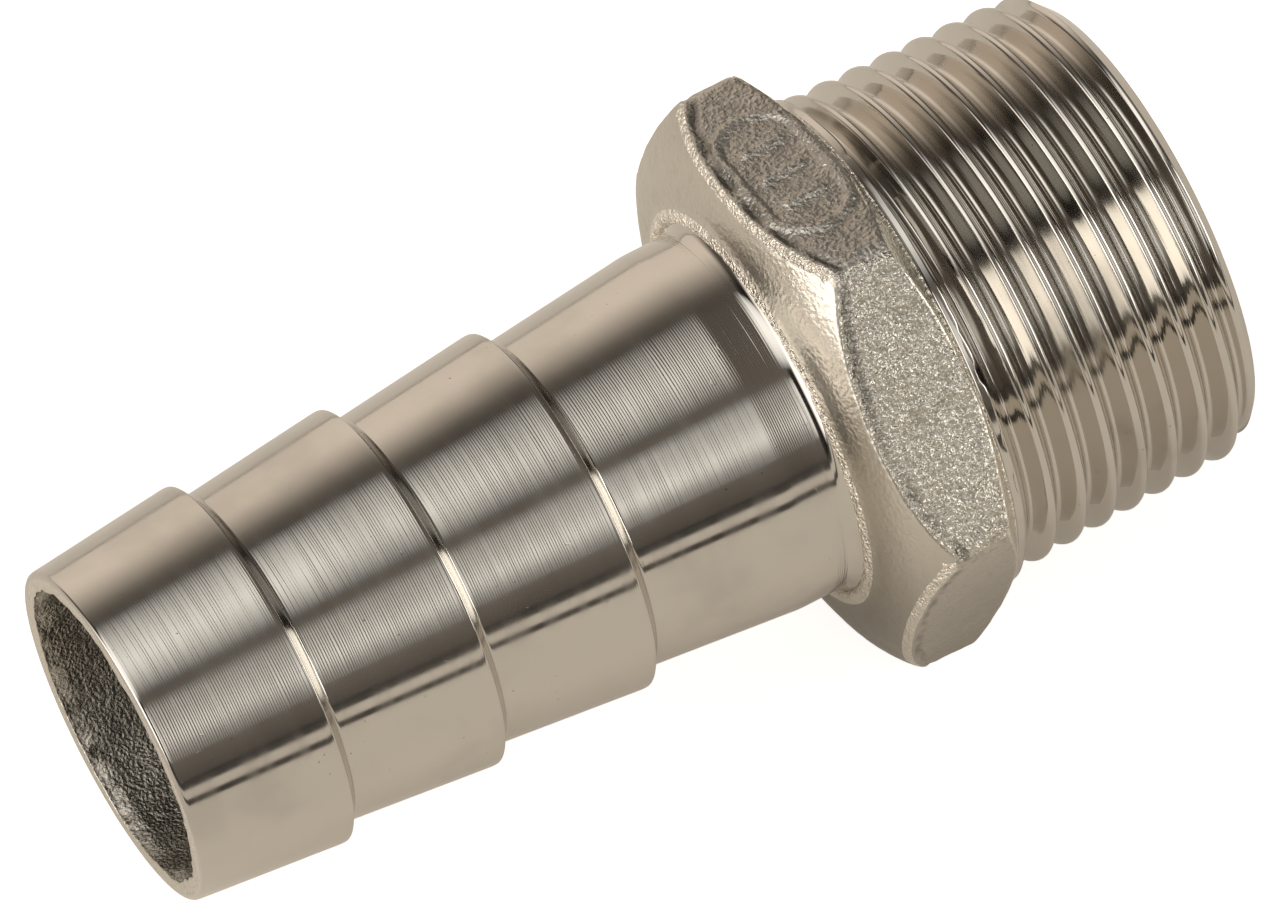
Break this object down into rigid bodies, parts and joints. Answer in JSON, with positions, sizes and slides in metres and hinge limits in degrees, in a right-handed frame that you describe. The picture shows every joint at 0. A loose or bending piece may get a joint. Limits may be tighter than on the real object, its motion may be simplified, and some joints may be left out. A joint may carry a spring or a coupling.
{
  "type": "hose barb tail",
  "caption": "Stainless steel hose tail: a tapered male pipe thread, a hex to turn it by and ridges that grip a pushed-on hose, on one straight through bore.",
  "frame": {"origin": "centre of the thread's end face, on the axis of the bore", "axes": "+X along the bore's axis, out of the thread end; the hose end points to -X; +Z out of the hex's upper flat, which carries the raised mark"},
  "size_m": [0.0595, 0.0322, 0.0285],
  "materials": {
    "stainless_steel": "turned on the ridges and thread, rough cast on the hex and in the bore"
  },
  "bodies": {
    "root": {"hose_tail": "stainless_steel"}
  },
  "joints": []
}
